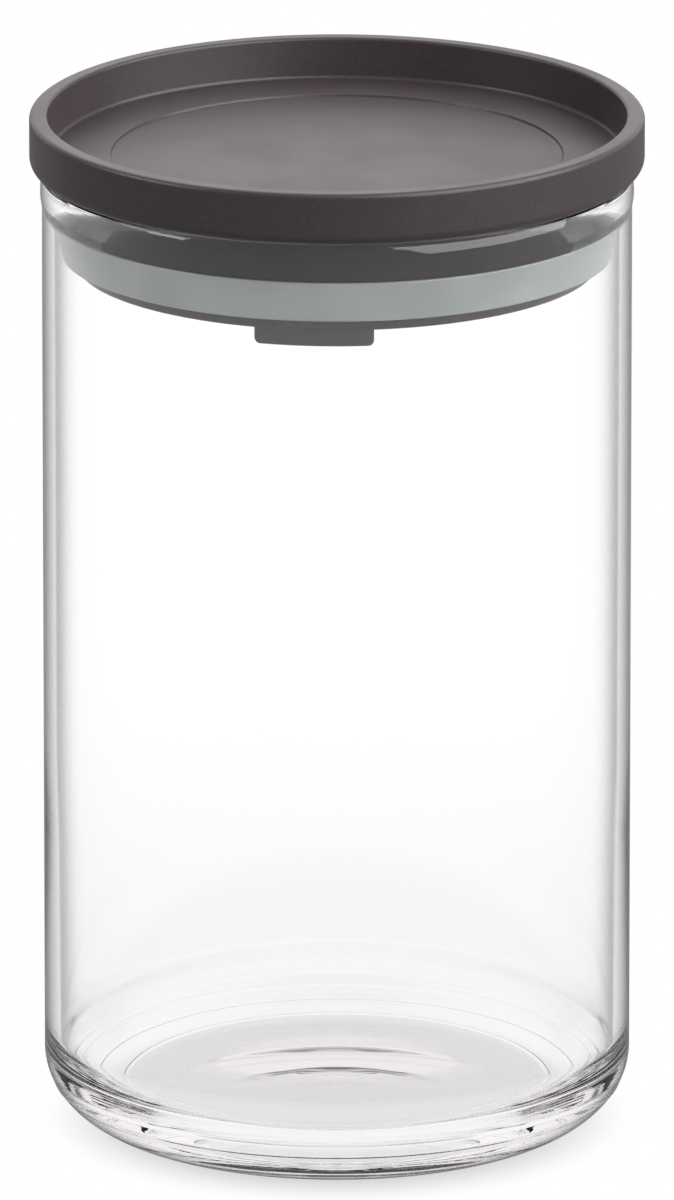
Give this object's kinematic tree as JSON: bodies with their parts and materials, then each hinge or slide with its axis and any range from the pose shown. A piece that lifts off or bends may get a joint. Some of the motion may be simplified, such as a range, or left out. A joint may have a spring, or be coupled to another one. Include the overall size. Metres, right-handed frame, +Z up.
{
  "type": "glass storage jar with press-in lid",
  "caption": "Straight clear glass storage jar with a rounded heel and a rimmed plastic press-in lid that carries a silicone lip seal and a finger tab.",
  "frame": {"origin": "centre of the jar's base, on the plane it stands on", "axes": "+Z up along the jar's centre line; the lid's finger tab is on the -Y side"},
  "size_m": [0.1042, 0.1042, 0.1774],
  "materials": {
    "clear_glass": "clear, fire-polished",
    "lid_plastic": "satin with a fine grain",
    "carrier_plastic": "smooth satin",
    "seal_silicone": "soft, slightly translucent"
  },
  "bodies": {
    "jar": {"glass_jar": "clear_glass"},
    "lid": {"lid_cap": "lid_plastic", "seal_carrier": "carrier_plastic", "silicone_seal": "seal_silicone"}
  },
  "joints": [
    {"name": "lid_lift", "type": "slide", "parent": "jar", "child": "lid", "axis": [0, 0, 1], "range_m": [0, 0.08]}
  ]
}
